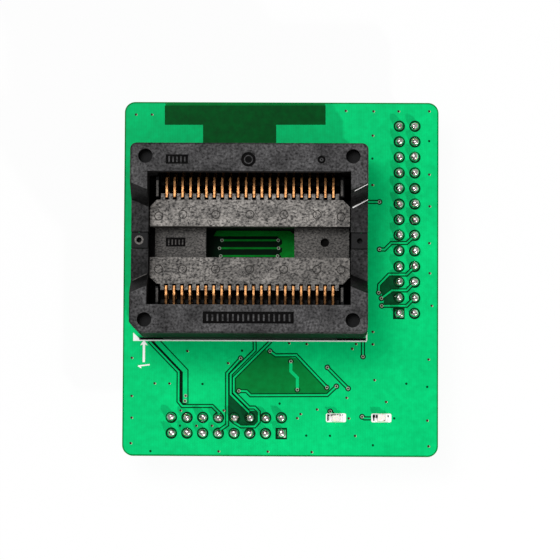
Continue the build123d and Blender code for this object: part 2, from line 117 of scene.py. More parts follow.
def read(region, *points):
    """Points read in one region, on the board's upper face, as (x, y)."""
    left, top, scale = REGIONS[region]
    out = []
    for x, y in points:
        p = at_pixel(left + x / scale, top + y / scale)
        out.append((p.x, p.y))
    return out


# Materials.
def srgb(r, g, b):
    """0-255 screen colour to linear."""
    out = []
    for c in (r, g, b):
        c /= 255
        out.append(c / 12.92 if c <= 0.04045 else ((c + 0.055) / 1.055) ** 2.4)
    return (*out, 1)


def new_material(name):
    mat = bpy.data.materials.new(name)
    mat.use_nodes = True
    tree = mat.node_tree
    return mat, tree, tree.nodes["Principled BSDF"]


def add(tree, kind, **values):
    """A node with the given settings and input values."""
    node = tree.nodes.new(kind)
    for key, value in values.items():
        if hasattr(node, key):
            setattr(node, key, value)
        else:
            node.inputs[key].default_value = value
    return node


def scaled_by(tree, colour, value, span, factor):
    """The colour times a factor that goes from its first to its second value as the value crosses the span."""
    level = add(tree, "ShaderNodeMapRange")
    level.inputs["From Min"].default_value, level.inputs["From Max"].default_value = span
    level.inputs["To Min"].default_value, level.inputs["To Max"].default_value = factor
    tree.links.new(value, level.inputs["Value"])
    scaled = add(tree, "ShaderNodeVectorMath", operation="SCALE")
    tree.links.new(colour, scaled.inputs[0])
    tree.links.new(level.outputs["Result"], scaled.inputs["Scale"])
    return scaled.outputs["Vector"]


def size_of(tree, value):
    """The value without its sign."""
    out = add(tree, "ShaderNodeMath", operation="ABSOLUTE")
    tree.links.new(value, out.inputs[0])
    return out.outputs["Value"]


def levelness(tree):
    """1 where a face is level, 0 where it stands upright."""
    shape = add(tree, "ShaderNodeNewGeometry")
    split = add(tree, "ShaderNodeSeparateXYZ")
    tree.links.new(shape.outputs["Normal"], split.inputs["Vector"])
    return size_of(tree, split.outputs["Z"])


def grain(
    name, dark, light, rough, metallic=0.0, scale=900.0, detail=4.0, bump=0.15, depth=0.00002, coat=0.0,
    rough_spread=0.1, blotch=None, specular=0.5, walls=None, low=None, patchy=0.1, stretch=None,
    span=(0.3, 0.7), tips=None,
):
    """A surface whose colour, roughness and relief vary with a fine noise, and with slow blotches if asked.

    walls is how bright its steep faces are beside its level ones, as painted shade on its sides; low is a
    height and how bright the surface is below it, as painted shade in its lower parts; and tips is how far
    from the socket's middle the bright tips of the contacts end, where the painted shade of the parts under
    the cover is full, and how bright that shade leaves them.
    """
    mat, tree, bsdf = new_material(name)
    where = add(tree, "ShaderNodeTexCoord").outputs["Object"]
    noise = add(tree, "ShaderNodeTexNoise", Scale=scale, Detail=detail, Roughness=0.6)
    source = where
    if stretch:
        longer = add(tree, "ShaderNodeMapping")
        longer.inputs["Scale"].default_value = stretch
        tree.links.new(source, longer.inputs["Vector"])
        source = longer.outputs["Vector"]
    tree.links.new(source, noise.inputs["Vector"])
    ramp = add(tree, "ShaderNodeValToRGB")
    for element, place, shade in zip(ramp.color_ramp.elements, span, (dark, light)):
        element.position = place
        element.color = srgb(*shade)
    tree.links.new(noise.outputs["Fac"], ramp.inputs["Fac"])
    colour = ramp.outputs["Color"]
    if blotch:
        slow = add(tree, "ShaderNodeTexNoise", Scale=blotch, Detail=3.0, Roughness=0.5)
        tree.links.new(where, slow.inputs["Vector"])
        colour = scaled_by(tree, colour, slow.outputs["Fac"], (0.3, 0.7), (1 - patchy, 1 + patchy))
    # Painted shade: steep faces darker than level ones.
    if walls:
        colour = scaled_by(tree, colour, levelness(tree), (0.45, 0.99), (walls, 1.0))
    if low or tips:
        split = add(tree, "ShaderNodeSeparateXYZ")
        tree.links.new(where, split.inputs["Vector"])
    # Painted shade: darker below the given height.
    if low:
        height, shade = low
        colour = scaled_by(tree, colour, split.outputs["Z"], (height, height + 1 * MM), (shade, 1.0))
    # Painted shade on the contacts beyond their bright tips, where they run under the cover.
    if tips:
        away = add(tree, "ShaderNodeMath", operation="SUBTRACT")
        away.inputs[1].default_value = SOCKET_Y
        tree.links.new(split.outputs["Y"], away.inputs[0])
        colour = scaled_by(tree, colour, size_of(tree, away.outputs["Value"]), tips[:2], (1.0, tips[2]))
    tree.links.new(colour, bsdf.inputs["Base Color"])
    spread = add(tree, "ShaderNodeMapRange")
    spread.inputs["To Min"].default_value = max(rough - rough_spread, 0.02)
    spread.inputs["To Max"].default_value = min(rough + rough_spread, 1.0)
    tree.links.new(noise.outputs["Fac"], spread.inputs["Value"])
    tree.links.new(spread.outputs["Result"], bsdf.inputs["Roughness"])
    relief = add(tree, "ShaderNodeBump", Strength=bump, Distance=depth)
    tree.links.new(noise.outputs["Fac"], relief.inputs["Height"])
    tree.links.new(relief.outputs["Normal"], bsdf.inputs["Normal"])
    bsdf.inputs["Metallic"].default_value = metallic
    bsdf.inputs["Specular IOR Level"].default_value = specular
    bsdf.inputs["Coat Weight"].default_value = coat
    bsdf.inputs["Coat Roughness"].default_value = 0.12
    return mat


def lacquer(name, dark, light, rough=0.5, blotch=None):
    """The board's green mask over one kind of ground; some of these are also darkened as painted shade."""
    return grain(name, dark, light, rough, scale=900, bump=0.1, blotch=blotch, specular=0.03)


def gilt(name, tips):
    """Worn gold plating of one row of contacts, with painted shade on its steep sides and beyond its bright
    tips.
    """
    return grain(
        name, (92, 52, 24), (232, 170, 112), 0.34, metallic=1, scale=2400, bump=0.4, blotch=900, walls=0.1,
        patchy=0.2, tips=tips,
    )


# Heights below which the cover and the seat get painted shade.
COVER_SHADED_BELOW = TOP + 12.5 * MM
SEAT_SHADED_BELOW = TOP + 6 * MM
MAT = {
    "mask": lacquer("mask_over_copper", (0, 190, 108), (0, 208, 120), 0.42, 90),
    "bare": lacquer("mask_over_laminate", (0, 114, 46), (0, 130, 56), 0.42, 90),
    "dark": lacquer("mask_in_shadow_gaps", (0, 72, 26), (0, 90, 34), 0.42, 90),
    # Mask over laminate in the pockets beside the headers, darkened as painted shade.
    "between": lacquer("mask_between_pads_painted_shade", (0, 64, 32), (0, 82, 42), 0.42, 90),
    "moat": lacquer("mask_beside_pads", (0, 34, 14), (0, 54, 24)),
    "channel": lacquer("mask_beside_tracks", (0, 52, 20), (0, 74, 30)),
    # Nearly black: the narrow gap beside the broad track, and the gaps in the seat's window, where it also
    # stands for painted shadow.
    "deep": lacquer("mask_between_tracks", (0, 18, 7), (0, 32, 13)),
    # The mask seen through the seat's window, darkened as painted shade.
    "well": lacquer("mask_in_painted_socket_shade", (0, 122, 32), (0, 148, 44)),
    "silk": grain("ink_white", (238, 238, 235), (252, 252, 250), 0.6, scale=4500, bump=0.3),
    # walls and low paint shade on the cover's steep faces and on its parts below its top.
    "cover": grain(
        "cover_plastic", (20, 20, 20), (94, 93, 94), 0.58, scale=2500, detail=7, bump=0.8, depth=0.06 * MM,
        blotch=360, specular=0.05, walls=0.2, low=(COVER_SHADED_BELOW, 0.42), patchy=0.42, span=(0.3, 0.7),
    ),
    "base": grain("base_plastic", (12, 12, 13), (30, 30, 31), 0.6, scale=3500, bump=0.4, specular=0.15),
    # Light grey, used only for painted highlights on edges of the black parts.
    "edge_highlight": grain("painted_edge_highlight", (62, 60, 58), (126, 122, 118), 0.5, scale=3200, bump=0.5, specular=0.2),
    # walls and low paint shade on the seat's steep faces and in its low channel.
    "seat": grain(
        "seat_plastic", (14, 12, 11), (158, 153, 148), 0.52, scale=3500, detail=5, bump=1.0, depth=0.08 * MM,
        blotch=420, specular=0.3, walls=0.25, low=(SEAT_SHADED_BELOW, 0.45), patchy=0.4,
        stretch=(0.8, 1.0, 1.0), span=(0.36, 0.62),
    ),
    # Near black: recess floors and the base's flange, and also painted shade under the base's corners and on
    # the diodes.
    "black_and_shade": grain("black_plastic_and_painted_shade", (2, 2, 2), (16, 15, 15), 0.6, scale=5200, bump=0.6, specular=0.04),
    # Near white, used only for painted glints on the edges of the right notch.
    "edge": grain("painted_edge_glint", (186, 184, 182), (240, 238, 236), 0.4, scale=2600, bump=0.3),
    "groove": grain("mark_groove", (30, 28, 27), (62, 59, 56), 0.7, scale=5200, bump=0.4, specular=0.2),
    "header": grain("header_plastic", (22, 22, 24), (40, 40, 42), 0.45, scale=2200, bump=0.2),
    # The two rows differ only in where their painted shade beyond the tips starts and how deep it is.
    "gold": gilt("gold_plating", (8.45 * MM, 8.75 * MM, 0.13)),
    "gold_rear": gilt("gold_plating_rear", (8.6 * MM, 9.0 * MM, 0.42)),
    # walls paints shade on the roots' steep faces.
    "gold_root": grain(
        "gold_plating_root", (70, 42, 20), (150, 110, 70), 0.4, metallic=1, scale=2400, walls=0.1,
    ),
    "pin": grain("pin_plating", (200, 160, 80), (240, 205, 120), 0.25, metallic=1, scale=1200, bump=0.1),
    "solder": grain(
        "solder", (138, 130, 120), (255, 252, 248), 0.24, metallic=1, scale=1700, bump=0.8, depth=0.08 * MM,
        blotch=1300, patchy=0.25,
    ),
    # Dark grey-green, used only for painted shade on the solder joints.
    "dome_shade": grain("dome_painted_shade", (16, 48, 34), (70, 96, 82), 0.4, scale=4500, bump=0.3, specular=0.2),
    "tin": grain("tin", (226, 224, 220), (250, 249, 246), 0.5, metallic=0.4, scale=2600, bump=0.4),
    "steel": grain("spring_steel", (120, 120, 122), (180, 180, 182), 0.3, metallic=1, scale=1200),
    "lens": grain("diode_lens", (240, 228, 216), (252, 246, 238), 0.3, scale=2400, bump=0.1, coat=0.4),
    "carrier": grain("diode_carrier", (226, 222, 214), (248, 246, 240), 0.5, scale=2500, bump=0.1),
    "hole": grain("via_hole", (14, 4, 3), (70, 14, 10), 0.5, scale=4500, specular=0.2),
    # Cream: a painted glint, the lit far wall inside each small via's bore.
    "bore_glint": grain("via_bore_painted_glint", (196, 150, 120), (236, 214, 196), 0.4, scale=4500, bump=0.2),
    "ring": grain("via_ring", (84, 142, 104), (180, 190, 164), 0.3, scale=4500, bump=0.3),
}
lens_shader = MAT["lens"].node_tree.nodes["Principled BSDF"]
lens_shader.inputs["Subsurface Weight"].default_value = 0.3
lens_shader.inputs["Subsurface Scale"].default_value = 0.6 * MM


def board_material():
    """Mask on the faces, cut laminate on the edges, with the fine upright banding of the copper fill."""
    mat = MAT["mask"].copy()
    mat.name = "board"
    tree = mat.node_tree
    bsdf = tree.nodes["Principled BSDF"]
    plain = bsdf.inputs["Base Color"].links[0].from_socket
    where = add(tree, "ShaderNodeTexCoord")
    bands = add(tree, "ShaderNodeTexWave", Scale=800.0, Distortion=0.4)
    bands.bands_direction = "X"
    tree.links.new(where.outputs["Object"], bands.inputs["Vector"])
    banded = scaled_by(tree, plain, bands.outputs["Fac"], (0.0, 1.0), (0.975, 1.025))
    face = add(tree, "ShaderNodeMath", operation="GREATER_THAN")
    face.inputs[1].default_value = 0.5
    tree.links.new(levelness(tree), face.inputs[0])
    mix = add(tree, "ShaderNodeMix", data_type="RGBA")
    mix.inputs[6].default_value = srgb(30, 92, 44)
    tree.links.new(face.outputs["Value"], mix.inputs["Factor"])
    tree.links.new(banded, mix.inputs[7])
    tree.links.new(mix.outputs[2], bsdf.inputs["Base Color"])
    return mat


def dress(node, material):
    obj = NODES[node]
    obj.data.materials.clear()
    obj.data.materials.append(material)


dress("circuit_board", board_material())
for node, key in {
    "socket_cover": "cover",
    "socket_base": "base",
    "package_seat": "seat",
    "contact_arms_front": "gold",
    "contact_arms_rear": "gold_rear",
    "contact_roots_front": "gold_root",
    "contact_roots_rear": "gold_root",
    "header_long_body": "header",
    "header_short_body": "header",
    "header_long_pins": "pin",
    "header_short_pins": "pin",
    "socket_solder_front": "solder",
    "socket_solder_rear": "solder",
    "header_long_solder": "solder",
    "header_short_solder": "solder",
    "led_left_carrier": "carrier",
    "led_right_carrier": "carrier",
    "led_left_lens": "lens",
    "led_right_lens": "lens",
    "led_left_terminals": "tin",
    "led_right_terminals": "tin",
    "cover_spring_front_left": "steel",
    "cover_spring_front_right": "steel",
    "cover_spring_rear_left": "steel",
    "cover_spring_rear_right": "steel",
}.items():
    dress(node, MAT[key])


def soften(node, width, segments=2):
    """Small rounded edges, as moulding and blanking leave them."""
    mod = NODES[node].modifiers.new("edges", "BEVEL")
    mod.width = width
    mod.segments = segments
    mod.limit_method = "ANGLE"
    mod.angle_limit = math.radians(35)


soften("socket_cover", 0.12 * MM)
soften("package_seat", 0.06 * MM, 1)


# Outlines, as lists of (x, y).
def rect(x0, x1, y0, y1):
    return [(x0, y0), (x1, y0), (x1, y1), (x0, y1)]


def around(x, y, half_x, half_y):
    """The sides of a rectangle with the given middle and half sizes."""
    return x - half_x, x + half_x, y - half_y, y + half_y


def circle(x, y, r, n=20):
    turns = [2 * math.pi * i / n for i in range(n)]
    return [(x + r * math.cos(a), y + r * math.sin(a)) for a in turns]


def rounded(x0, x1, y0, y1, r, n=8):
    """A rectangle with rounded corners."""
    out = []
    for k, (cx, cy) in enumerate(((x1 - r, y1 - r), (x0 + r, y1 - r), (x0 + r, y0 + r), (x1 - r, y0 + r))):
        for i in range(n + 1):
            a = math.pi / 2 * (k + i / n)
            out.append((cx + r * math.cos(a), cy + r * math.sin(a)))
    return out


def band(points, width):
    """A track with mitred bends, a little longer than its path."""
    pts = [Vector(p) for p in points]
    left, right = [], []
    for i, p in enumerate(pts):
        if i == 0:
            d = (pts[1] - p).normalized()
            n = Vector((-d.y, d.x)) * width / 2
            p = p - d * width * 0.3
        elif i == len(pts) - 1:
            d = (p - pts[i - 1]).normalized()
            n = Vector((-d.y, d.x)) * width / 2
            p = p + d * width * 0.3
        else:
            a = (p - pts[i - 1]).normalized()
            b = (pts[i + 1] - p).normalized()
            na, nb = Vector((-a.y, a.x)), Vector((-b.y, b.x))
            mid = (na + nb).normalized()
            n = mid * (width / 2) / max(mid.dot(na), 0.5)
        left.append((p.x + n.x, p.y + n.y))
        right.append((p.x - n.x, p.y - n.y))
    return left + right[::-1]


# Meshes.
def finish_mesh(name, bm, material, body="board", smooth=False):
    bmesh.ops.recalc_face_normals(bm, faces=bm.faces)
    mesh = bpy.data.meshes.new(name)
    bm.to_mesh(mesh)
    bm.free()
    mesh.materials.append(MAT[material])
    if smooth:
        for face in mesh.polygons:
            face.use_smooth = True
    obj = bpy.data.objects.new(name, mesh)
    bpy.context.scene.collection.objects.link(obj)
    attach(obj, body)
    return obj


def loop_at(bm, points, z):
    return [bm.verts.new((x, y, z)) for x, y in points]


def bridge(bm, a, b):
    """Faces between two loops with equal point counts."""
    for i in range(len(a)):
        j = (i + 1) % len(a)
        bm.faces.new((a[i], a[j], b[j], b[i]))


def skin(bm, loops):
    """A surface through a row of loops, closed at both ends."""
    for a, b in zip(loops, loops[1:]):
        bridge(bm, a, b)
    bm.faces.new(loops[0])
    bm.faces.new(loops[-1])


def slab(bm, points, z0, z1):
    """A closed plate with the given outline between two heights."""
    skin(bm, [loop_at(bm, points, z0), loop_at(bm, points, z1)])


def closed_frame(bm, inner, outer, z0, z1):
    """A closed flat frame between two outlines with equal point counts."""
    corners = ((inner, z0), (outer, z0), (outer, z1), (inner, z1))
    loops = [loop_at(bm, points, z) for points, z in corners]
    for k in range(4):
        bridge(bm, loops[k], loops[(k + 1) % 4])


def ring(bm, x, y, r0, r1, z0, z1, n=20):
    closed_frame(bm, circle(x, y, r0, n), circle(x, y, r1, n), z0, z1)


def on_board(top, *outlines):
    """Plates that stand on the board's upper face, as (outline, foot, top)."""
    return [(outline, TOP, top) for outline in outlines]


def plates(name, sheets, material, body="board"):
    """One piece made of plates, each given as (outline, foot, top)."""
    bm = bmesh.new()
    for outline, foot, top in sheets:
        slab(bm, outline, foot, top)
    return finish_mesh(name, bm, material, body)


# Board artwork: heights of the layers above the mask.
LAYER_WELL = TOP + 0.006 * MM
LAYER_GAP = TOP + 0.012 * MM          # where copper is missing
LAYER_EDGE = LAYER_GAP + 0.001 * MM
LAYER_BROAD_MOAT = LAYER_GAP + 0.002 * MM
LAYER_MOAT = LAYER_GAP + 0.003 * MM   # clearances beside the tracks
LAYER_DEEP = LAYER_GAP + 0.005 * MM
LAYER_PAD_MOAT = LAYER_GAP + 0.006 * MM
LAYER_TRACK = TOP + 0.022 * MM
LAYER_PAD = TOP + 0.030 * MM
LAYER_BORE_GLINT = LAYER_PAD - 0.008 * MM
LAYER_FILLED = LAYER_PAD - 0.006 * MM
LAYER_BORE = LAYER_PAD - 0.004 * MM
LAYER_INK = TOP + 0.040 * MM
LAYER_INK_LOW = LAYER_INK - 0.002 * MM
LAYER_INK_HIGH = LAYER_INK + 0.002 * MM

TRACK_W = 0.27 * MM
MOAT_W = 0.68 * MM
BROAD_W = 0.74 * MM
BROAD_MOAT_W = BROAD_W + 0.36 * MM
SUPPLY_W = 0.5 * MM
DEEP_W = 0.5 * MM
WINDOW_TRACK_W = 0.3 * MM
RING_R0, RING_R1 = 0.16 * MM, 0.27 * MM
RING_MOAT_R = 0.47 * MM
BORE_R = 0.2 * MM
SMALL_BORE_R = 0.19 * MM
BORE_GLINT_R = 0.17 * MM
BORE_GLINT_X, BORE_GLINT_Y = 0.09 * MM, -0.03 * MM
PAD_R = 0.67 * MM
PAD_MOAT_R = 0.93 * MM
FOOT_HALF = 0.62 * MM
FOOT_SHIFT = 0.12 * MM
CORNER_R = 1.7 * MM
RIM_IN, RIM_OUT = 0.2 * MM, 0.02 * MM

tracks = [
    read("low_left", (295, 118), (575, 410), (573, 700), (610, 745), (905, 745), (975, 815)),
    read("low_left", (1183, 278), (1050, 425), (1050, 930), (985, 975)),
    read("low_left", (1320, 118), (1320, 200), (1085, 435), (1085, 630), (1262, 805)),
    read("low_left", (1470, 118), (1115, 470), (1115, 610), (1265, 760), (1320, 760), (1360, 800),
         (1360, 900), (1320, 945), (1185, 945), (1120, 905)),
    read("low_left", (1165, 597), (1240, 600), (1280, 640)) + read("low_right", (435, 600), (520, 520)),
    read("low_left", (1470, 208), (1525, 248)) + read("low_right", (150, 232), (432, 530)),
    read("low_right", (437, 345), (628, 540)),
    read("low_right", (765, 110), (765, 245)),
    read("low_right", (463, 750), (500, 790)),
    read("low_right", (757, 800), (778, 815), (838, 815)),
    read("right", (65, 1018), (100, 1020), (145, 975), (250, 975), (300, 930)),
    read("right", (60, 1313), (62, 1260), (130, 1190), (250, 1190), (300, 1140)),
    read("right", (78, 1352), (150, 1298), (250, 1298), (300, 1245)),
    read("right", (80, 1403), (250, 1403), (300, 1352)),
    read("right", (-20, 695), (65, 695)),
]
broad_track = read("low_left", (365, 114), (638, 402), (638, 700))
supply_track = read("low_right", (100, 290), (100, 380), (160, 440), (160, 550))
deep_gap = read("low_left", (319, 118), (599, 414), (599, 696), (632, 728))
big_vias = (
    read("low_left", (643, 645), (637, 695), (1183, 278), (1165, 597), (1470, 208))
    + read("low_right", (432, 530), (520, 520), (100, 290), (160, 550), (437, 345), (628, 540), (765, 245),
           (463, 750), (757, 800))
    + read("right", (65, 1018), (60, 1313), (78, 1352), (80, 1403), (65, 695))
)
small_vias = read(
    "whole", (148, 101), (214, 101), (1014, 86), (1128, 88), (1232, 88), (1358, 88), (1125, 188), (1124, 392),
    (1358, 349), (1360, 480), (1358, 632), (1360, 756), (1368, 890), (1355, 1112), (131, 1105), (130, 1262),
    (130, 1352), (126, 1457), (489, 1491), (692, 1492), (873, 1494), (1132, 1197), (1180, 1287), (1350, 1364),
    (1125, 998), (360, 1077), (528, 1127), (225, 1210), (286, 1211), (1017, 1270), (1052, 1427), (895, 1318),
    (827, 1337), (1125, 1049), (1040, 1068), (1056, 1048), (852, 1048), (780, 1045), (1355, 1470),
    (1026, 1355), (332, 1322), (510, 1322), (397, 1385), (461, 1385), (813, 1354),
)
filled_vias = read(
    "whole", (1264, 1212), (1350, 1225), (949, 1427), (851, 1426), (1126, 1466), (1214, 1355), (423, 1213),
    (586, 1076), (741, 1294), (208, 1490), (330, 1385), (1358, 211), (1124, 283),
)
edge_gap = read("pixels", (165.5, 100.0), (325.0, 100.0), (325.0, 105.6), (165.5, 105.6))
gap_areas = [
    # between the tracks below the socket
    read("low_left", (1420, 185), (1500, 255), (1568, 258))
    + read("low_right", (145, 258), (405, 520), (470, 560), (430, 592), (0, 592))
    + read("low_left", (1285, 630), (1240, 590), (1165, 590), (1105, 575), (1105, 478)),
    # along the rear edge
    [(x, min(y, BOARD_HIGH.y - 0.05 * MM)) for x, y in edge_gap],
]
shaded_areas = [
    # inside the bends at the short header
    read("low_left", (1068, 640), (1090, 640), (1250, 790), (1320, 790), (1345, 810), (1345, 905),
         (1310, 930), (1190, 930), (1120, 880), (1068, 870)),
    # beside the long header
    read("right", (72, 1310), (72, 1265), (132, 1202), (200, 1202), (200, 1290), (150, 1290), (90, 1340)),
    read("right", (95, 1352), (155, 1308), (200, 1308), (200, 1395), (92, 1395)),
]
dark_areas = [
    # the two windows in the copper above the socket
    read("pixels", (164.8, 105.5), (325.6, 105.5), (325.6, 124.8), (164.8, 124.8)),
    read("pixels", (203.0, 124.8), (276.2, 124.8), (276.2, 150.0), (203.0, 150.0)),
]


def middle(node):
    low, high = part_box(node)
    return (low + high) / 2


PITCH = 2.54 * MM
LONG_ROWS, SHORT_COLS = 13, 8
long_mid = middle("header_long_solder")
long_pins = [
    (long_mid.x + side * PITCH, long_mid.y + (row - (LONG_ROWS - 1) / 2) * PITCH)
    for row in range(LONG_ROWS)
    for side in (-0.5, 0.5)
]
short_mid = middle("header_short_solder")
short_pins = [
    (short_mid.x + (col - (SHORT_COLS - 1) / 2) * PITCH, short_mid.y + side * PITCH)
    for col in range(SHORT_COLS)
    for side in (-0.5, 0.5)
]
square_pads = (long_pins[0], short_pins[-2])


def pads(half, r, shift=0.0):
    """The outlines of all header pads, of which two are square."""
    out = []
    for x, y in long_pins + short_pins:
        if (x, y) in square_pads:
            out.append(rect(*around(x + shift, y, half, half)))
        else:
            out.append(circle(x, y, r, 28))
    return out


def board_rim(inset):
    """The board's outline, drawn in by the given amount."""
    return rounded(BOARD_LOW.x + inset, BOARD_HIGH.x - inset, BOARD_LOW.y + inset, BOARD_HIGH.y - inset,
                   CORNER_R - inset)


def via_rings(name, places):
    bm = bmesh.new()
    for x, y in places:
        ring(bm, x, y, RING_R0, RING_R1, TOP, LAYER_PAD)
    finish_mesh(name, bm, "ring")


def discs(places, r, n=14):
    return [circle(x, y, r, n) for x, y in places]


plates("copper_gap_areas", on_board(LAYER_GAP, *gap_areas), "bare")
# Gaps in the copper near the headers, drawn with painted shade.
plates("copper_gap_pockets", on_board(LAYER_GAP, *shaded_areas), "between")
plates("copper_gap_windows", on_board(LAYER_GAP, *dark_areas), "dark")
bm = bmesh.new()
closed_frame(bm, board_rim(RIM_IN), board_rim(RIM_OUT), TOP, LAYER_EDGE)
finish_mesh("board_edge_clearance", bm, "bare")
plates(
    "track_clearances",
    on_board(LAYER_MOAT, *(band(track, MOAT_W) for track in tracks))
    + on_board(LAYER_BROAD_MOAT, band(broad_track, BROAD_MOAT_W)),
    "channel",
)
plates("track_deep_clearance", on_board(LAYER_DEEP, band(deep_gap, DEEP_W)), "deep")
pad_moats = discs(big_vias, RING_MOAT_R, 20) + pads(PAD_MOAT_R, PAD_MOAT_R)
plates("pad_clearances", on_board(LAYER_PAD_MOAT, *pad_moats), "moat")
bands = [band(track, TRACK_W) for track in tracks] + [band(broad_track, BROAD_W), band(supply_track, SUPPLY_W)]
plates("tracks", on_board(LAYER_TRACK, *bands), "mask")
plates("header_pads", on_board(LAYER_PAD, *pads(FOOT_HALF, PAD_R, FOOT_SHIFT)), "solder")
via_rings("via_rings", big_vias)
bores = discs(big_vias, BORE_R) + discs(small_vias, SMALL_BORE_R)
plates("via_holes", on_board(LAYER_BORE, *bores), "hole")
# Painted glint: a light crescent at the lower right of each small via's bore.
bore_glints = discs([(x + BORE_GLINT_X, y + BORE_GLINT_Y) for x, y in small_vias], BORE_GLINT_R)
plates("via_bore_glints", on_board(LAYER_BORE_GLINT, *bore_glints), "bore_glint")
plates("filled_vias", on_board(LAYER_FILLED, *discs(filled_vias, SMALL_BORE_R)), "channel")

# White ink: the outline round the socket, its filled corner, an arrow with a plain number, and two boxes.
INK_X0, INK_X1 = -23.86 * MM, 13.94 * MM
INK_Y0, INK_Y1 = -10.08 * MM, 20.5 * MM
LINE = 0.22 * MM
HALF_LINE = LINE / 2
LEFT_START = INK_Y0 + 4 * MM
CORNER_X, CORNER_Y = INK_X0 + 1.2 * MM, INK_Y0 + 1.25 * MM
SHAFT_W = 0.38 * MM
SERIF_W = 0.2 * MM
DIODE_BOX = (3.26 * MM / 2, 1.44 * MM / 2)
DIODE_BOX_R = 0.28 * MM
lines = [
    rect(INK_X0, INK_X1, INK_Y0 - HALF_LINE, INK_Y0 + HALF_LINE),
    rect(INK_X0 - HALF_LINE, INK_X0 + HALF_LINE, LEFT_START, INK_Y1 - HALF_LINE),
    rect(INK_X1 - HALF_LINE, INK_X1 + HALF_LINE, INK_Y0 + HALF_LINE, INK_Y1 - HALF_LINE),
    rect(INK_X0, INK_X1, INK_Y1 - HALF_LINE, INK_Y1 + HALF_LINE),
    band(read("low_left", (233, 308), (235, 140)), SHAFT_W),
    band(read("low_left", (182, 352), (288, 340)), LINE),
]
for node in ("led_left_carrier", "led_right_carrier"):
    mid = middle(node)
    lines.append(rounded(*around(mid.x, mid.y, *DIODE_BOX), DIODE_BOX_R, 4))
corner = [(INK_X0, INK_Y0 + HALF_LINE), (CORNER_X, INK_Y0 + HALF_LINE), (INK_X0, CORNER_Y)]
head = read("low_left", (198, 150), (235, 96), (272, 150), (235, 138))
serif = band(read("low_left", (180, 352), (205, 368)), SERIF_W)
plates(
    "ink_marks",
    on_board(LAYER_INK, *lines) + on_board(LAYER_INK_LOW, corner) + on_board(LAYER_INK_HIGH, head, serif),
    "silk",
)

# Dark bits on the diodes, in mm from the middle as (x0, y0, x1, y1): the marked end, and painted shadow in the
# gaps at the solder and along the lens's edge.
LENS_REACH = 0.92
MARK_RISE = 0.02 * MM
marks = []
for node, bits in {
    "led_left": (
        (-1.42, -0.52, -1.2, 0.56), (-1.2, 0.28, -0.95, 0.5), (-0.9, 0.36, 0.0, 0.5), (0.1, 0.42, 0.4, 0.52),
        (0.55, 0.36, 0.75, 0.5), (0.95, 0.38, 1.15, 0.5),
    ),
    "led_right": (
        (-1.4, 0.02, -0.98, 0.54), (-0.9, 0.02, -0.68, 0.5), (-1.34, -0.46, -1.14, 0.02),
        (0.95, 0.14, 1.2, 0.44), (0.34, -0.48, 0.62, -0.38),
    ),
}.items():
    mid = middle(node + "_lens")
    lens_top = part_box(node + "_lens")[1].z
    for x0, y0, x1, y1 in bits:
        top = lens_top if abs(x0) < LENS_REACH else LAYER_INK
        outline = rect(mid.x + x0 * MM, mid.x + x1 * MM, mid.y + y0 * MM, mid.y + y1 * MM)
        marks += on_board(top + MARK_RISE, outline)
plates("diode_marks_and_shadows", marks, "black_and_shade")

# What shows of the board through the window in the seat, darkened with painted shade from the seat's walls.
WELL_HALF_X = 8.4 * MM
WELL_FRONT, WELL_REAR = 2.6 * MM, 2.9 * MM
well = rect(SOCKET_X - WELL_HALF_X, SOCKET_X + WELL_HALF_X, SOCKET_Y - WELL_FRONT, SOCKET_Y + WELL_REAR)
plates("window_copper", on_board(LAYER_WELL, well), "well")
# Gaps in the window's copper, drawn nearly black as painted shadow of the seat's walls.
plates(
    "window_gap_areas",
    on_board(
        LAYER_GAP,
        read("window", (400, 88), (995, 88), (1035, 120), (1035, 150), (1010, 165), (1035, 182), (1035, 210),
             (1015, 225), (1030, 250), (1030, 300), (400, 300)),
        read("window", (1040, -20), (1180, -20), (1180, 80), (1120, 70)),
    )
    + on_board(LAYER_GAP - 0.002 * MM, read("window", (400, -20), (560, -20), (500, 88), (400, 88))),
    "deep",
)
window_tracks = [
    read("window", (565, 120), (1005, 120)),
    read("window", (545, 182), (1008, 182)),
    read("window", (555, 243), (1000, 243)),
]
bands = [band(track, WINDOW_TRACK_W) for track in window_tracks]
plates("window_tracks", on_board(LAYER_TRACK, *bands), "well")
window_vias = [place for track in window_tracks for place in track]
via_rings("window_via_rings", window_vias)
plates("window_via_holes", on_board(LAYER_BORE, *discs(window_vias, BORE_R)), "hole")

# The front flange of the base, and black sheets on the board under the corners of its floor as painted shade.
FLANGE_T = 0.25 * MM
SHADE_SHEET_T = 0.05 * MM
(x0, y0), (x1, y1) = read("pixels", (139.5, 339.7), (366.0, 338.4))
plates("base_front_flange", on_board(TOP + FLANGE_T, rect(x0, x1, y0, y1)), "black_and_shade")
corners = []
for u0, u1 in ((146, 159), (339, 353)):
    for v0, v1 in ((176, 204), (284, 308)):
        (x0, y0), (x1, y1) = read("pixels", (u0, v1), (u1, v0))
        corners.append(rect(x0, x1, y0, y1))
plates("base_floor_corner_shade", on_board(TOP + SHADE_SHEET_T, *corners), "black_and_shade")

# Recesses: plain floors and bars.
FLOOR_T = 0.04 * MM
FLOOR_RIM = 0.06 * MM
BAR_TOP = 0.1 * MM


def floor_plate(x0, x1, y0, y1, z):
    """A thin plate on the floor of a recess."""
    return rect(x0 + FLOOR_RIM, x1 - FLOOR_RIM, y0 + FLOOR_RIM, y1 - FLOOR_RIM), z, z + FLOOR_T


def bars(x0, x1, y0, y1, z, count, wide):
    """Plain raised bars of uneven length across a recess."""
    step = (x1 - x0) / count
    out = []
    for i in range(count):
        reach = (y1 - y0) * random.uniform(0.26, 0.34)
        outline = rect(*around(x0 + (i + 0.5) * step, (y0 + y1) / 2, wide / 2, reach))
        out.append((outline, z + FLOOR_T, z + BAR_TOP))
    return out


